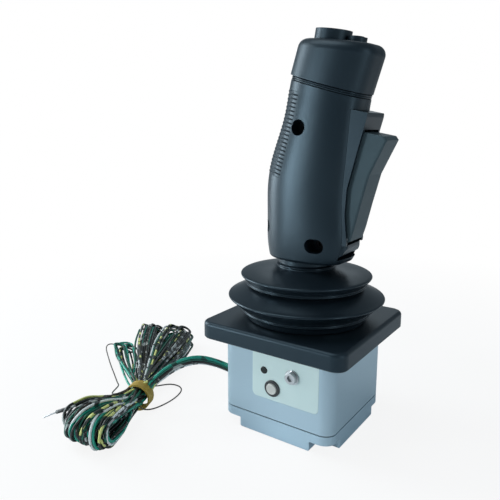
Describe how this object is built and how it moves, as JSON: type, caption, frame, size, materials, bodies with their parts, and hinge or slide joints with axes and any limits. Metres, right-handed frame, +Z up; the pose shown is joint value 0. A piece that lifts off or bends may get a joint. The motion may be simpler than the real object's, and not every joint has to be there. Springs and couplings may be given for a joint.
{
  "type": "industrial joystick",
  "caption": "Two axis industrial joystick on a square panel flange, with a rubber boot, moulded handle, paddle trigger, two thumb buttons and a tied hank of loose wires.",
  "frame": {"origin": "centre of the underside of the bottom cover", "axes": "+Z up along the upright lever, +X forward towards the trigger, -Y towards the service face with the light and push button"},
  "size_m": [0.2687, 0.2015, 0.2832],
  "materials": {
    "housing_paint": "satin silver paint with a blue cast",
    "black_plastic": "satin moulded nylon",
    "handle_plastic": "satin moulded plastic, fine grain",
    "paddle_plastic": "satin moulded plastic",
    "black_rubber": "smooth moulded rubber",
    "steel": "zinc plated",
    "black_steel": "blackened",
    "die_cast": "as cast",
    "bronze": "sintered",
    "dark_lens": "dark tinted lens",
    "button_ivory": "off white, slightly glossy",
    "board_green": "solder mask",
    "white_nylon": "natural nylon",
    "wire_green": "wire insulation",
    "wire_black": "wire insulation",
    "tie_ochre": "paper wrapped wire tie"
  },
  "bodies": {
    "base": {"base_housing": "housing_paint", "cover_seal": "black_rubber", "bottom_cover": "housing_paint", "cover_screws": "steel", "flange_bezel": "black_plastic", "led_lens": "dark_lens", "button_bezel": "steel", "button_switch": "black_plastic", "earth_washer": "steel", "earth_screw": "steel", "controller_board": "board_green", "board_chips": "black_plastic", "board_connector": "white_nylon", "board_screws": "steel", "gimbal_frame": "die_cast", "frame_bushings": "bronze", "frame_screws": "steel", "roll_spring": "steel", "roll_sensor": "black_plastic", "bellows_boot": "black_rubber", "boot_clamp_ring": "black_plastic", "clamp_screws": "steel", "wire_grommet": "black_rubber", "wire_lead": "wire_green", "wire_hank": "wire_green", "wire_tie": "tie_ochre", "wire_tail": "wire_black", "wire_sleeve": "wire_black"},
    "gimbal": {"gimbal_ring": "die_cast", "ring_bushings": "bronze", "roll_crank": "steel", "roll_magnet": "steel", "pitch_sensor": "black_plastic", "pitch_spring": "steel"},
    "lever": {"lever_rod": "steel", "cross_pin": "steel", "pitch_crank": "steel", "pitch_magnet": "steel", "neck_collar": "handle_plastic", "grip_adapter": "die_cast", "jam_nut": "steel", "grip_shell_right": "handle_plastic", "grip_shell_left": "handle_plastic", "shell_screws": "black_steel", "set_screw": "black_steel", "trigger_frame": "handle_plastic", "trigger_pin": "steel", "trigger_spring": "steel", "trigger_switch": "black_plastic", "head_ring": "handle_plastic", "head_cap": "handle_plastic", "switch_bracket": "white_nylon", "thumb_switch": "black_plastic", "fire_switch": "black_plastic"},
    "trigger": {"paddle": "paddle_plastic"},
    "thumb": {"thumb_button": "handle_plastic"},
    "fire": {"fire_button": "handle_plastic"},
    "service": {"button_cap": "button_ivory"}
  },
  "joints": [
    {"name": "tilt_sideways", "type": "hinge", "parent": "base", "child": "gimbal", "pos_m": [0, 0, 0.058], "axis": [1, 0, 0], "range_deg": [-18, 18], "stiffness_Nm_per_rad": 6, "deforming": ["bellows_boot", "roll_spring"]},
    {"name": "tilt_fore_aft", "type": "hinge", "parent": "gimbal", "child": "lever", "pos_m": [0, 0, 0.058], "axis": [0, 1, 0], "range_deg": [-18, 18], "stiffness_Nm_per_rad": 6, "deforming": ["bellows_boot", "pitch_spring"]},
    {"name": "trigger_pull", "type": "hinge", "parent": "lever", "child": "trigger", "pos_m": [0.0356, 0, 0.144], "axis": [0, -1, 0], "range_deg": [0, 9], "stiffness_Nm_per_rad": 2, "springref_deg": -5.73, "deforming": ["trigger_spring"]},
    {"name": "thumb_press", "type": "slide", "parent": "lever", "child": "thumb", "axis": [-0.165, 0, -0.9863], "range_m": [0, 0.002], "stiffness_N_per_m": 1500},
    {"name": "fire_press", "type": "slide", "parent": "lever", "child": "fire", "axis": [-0.165, 0, -0.9863], "range_m": [0, 0.0015], "stiffness_N_per_m": 1500},
    {"name": "service_press", "type": "slide", "parent": "base", "child": "service", "axis": [0, 1, 0], "range_m": [0, 0.0008], "stiffness_N_per_m": 2000}
  ]
}
